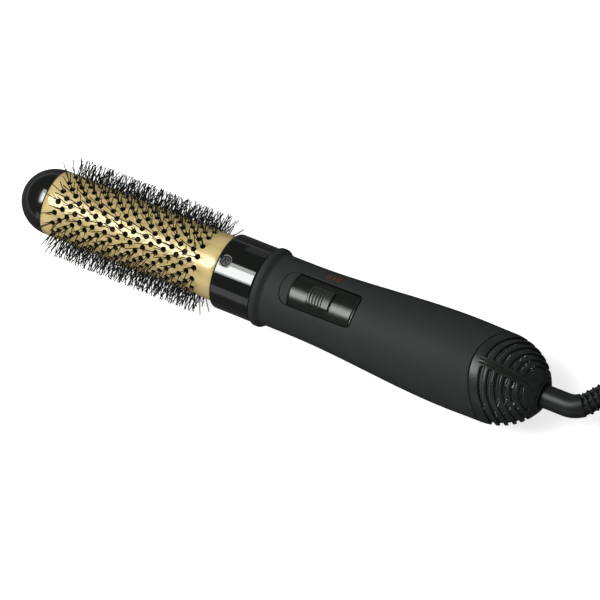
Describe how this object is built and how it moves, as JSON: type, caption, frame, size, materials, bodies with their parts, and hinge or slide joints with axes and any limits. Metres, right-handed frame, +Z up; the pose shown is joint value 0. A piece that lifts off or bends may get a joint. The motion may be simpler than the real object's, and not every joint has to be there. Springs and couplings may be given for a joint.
{
  "type": "hot air brush",
  "caption": "Round hot air styling brush with a perforated metal barrel full of bristles, a swelling handle, slide switch, slotted rear air inlet and swivel cord with a two-pin plug.",
  "frame": {"origin": "on the surface that the brush rests on, under the middle of the brush from its tip to the end of its cord boot", "axes": "+X along the handle's axis from the tip to the cord, +Y to the side that the cord boot bends to, +Z up through the switch"},
  "size_m": [0.4786, 0.0887, 0.055],
  "materials": {
    "gold_barrel": "satin gold anodised",
    "gloss_black": "gloss",
    "soft_touch": "soft-touch matte",
    "satin_black": "satin",
    "inner_plastic": "matte",
    "fan_plastic": "matte",
    "screen_black": "matte",
    "bristle": "matte nylon",
    "cord_black": "satin",
    "screw_steel": "satin",
    "motor_steel": "plain",
    "blade_brass": "polished",
    "mica": "matte"
  },
  "bodies": {
    "handle": {"tip_cap": "gloss_black", "barrel_tube": "gold_barrel", "bristle_sleeve_1": "bristle", "bristle_sleeve_2": "bristle", "bristle_sleeve_3": "bristle", "bristle_sleeve_4": "bristle", "collar": "gloss_black", "collar_screw_1": "screw_steel", "collar_screw_2": "screw_steel", "collar_screw_3": "screw_steel", "barrel_seat": "inner_plastic", "heater_tube": "mica", "heater_frame": "mica", "handle_shell": "soft_touch", "switch_panel": "satin_black", "switch_module": "inner_plastic", "motor_can": "motor_steel", "motor_mount": "inner_plastic", "inlet_cap": "satin_black", "inlet_screen": "screen_black", "swivel_ring": "satin_black", "swivel_socket": "inner_plastic", "cord_lead": "cord_black", "cord_coil": "cord_black", "cord_tail": "cord_black", "plug_body": "cord_black", "plug_blade_1": "blade_brass", "plug_blade_2": "blade_brass"},
    "slider": {"switch_slider": "satin_black"},
    "fan": {"fan_rotor": "fan_plastic"},
    "boot": {"swivel_boot": "cord_black"}
  },
  "joints": [
    {"name": "switch_slide", "type": "slide", "parent": "handle", "child": "slider", "axis": [1, 0, 0], "range_m": [-0.004, 0.004]},
    {"name": "fan_spin", "type": "hinge", "parent": "handle", "child": "fan", "pos_m": [0.09, 0, 0.0258], "axis": [1, 0, 0], "continuous": true},
    {"name": "cord_swivel", "type": "hinge", "parent": "handle", "child": "boot", "pos_m": [0.1437, 0, 0.0258], "axis": [1, 0, 0], "continuous": true, "deforming": ["cord_lead"]}
  ]
}
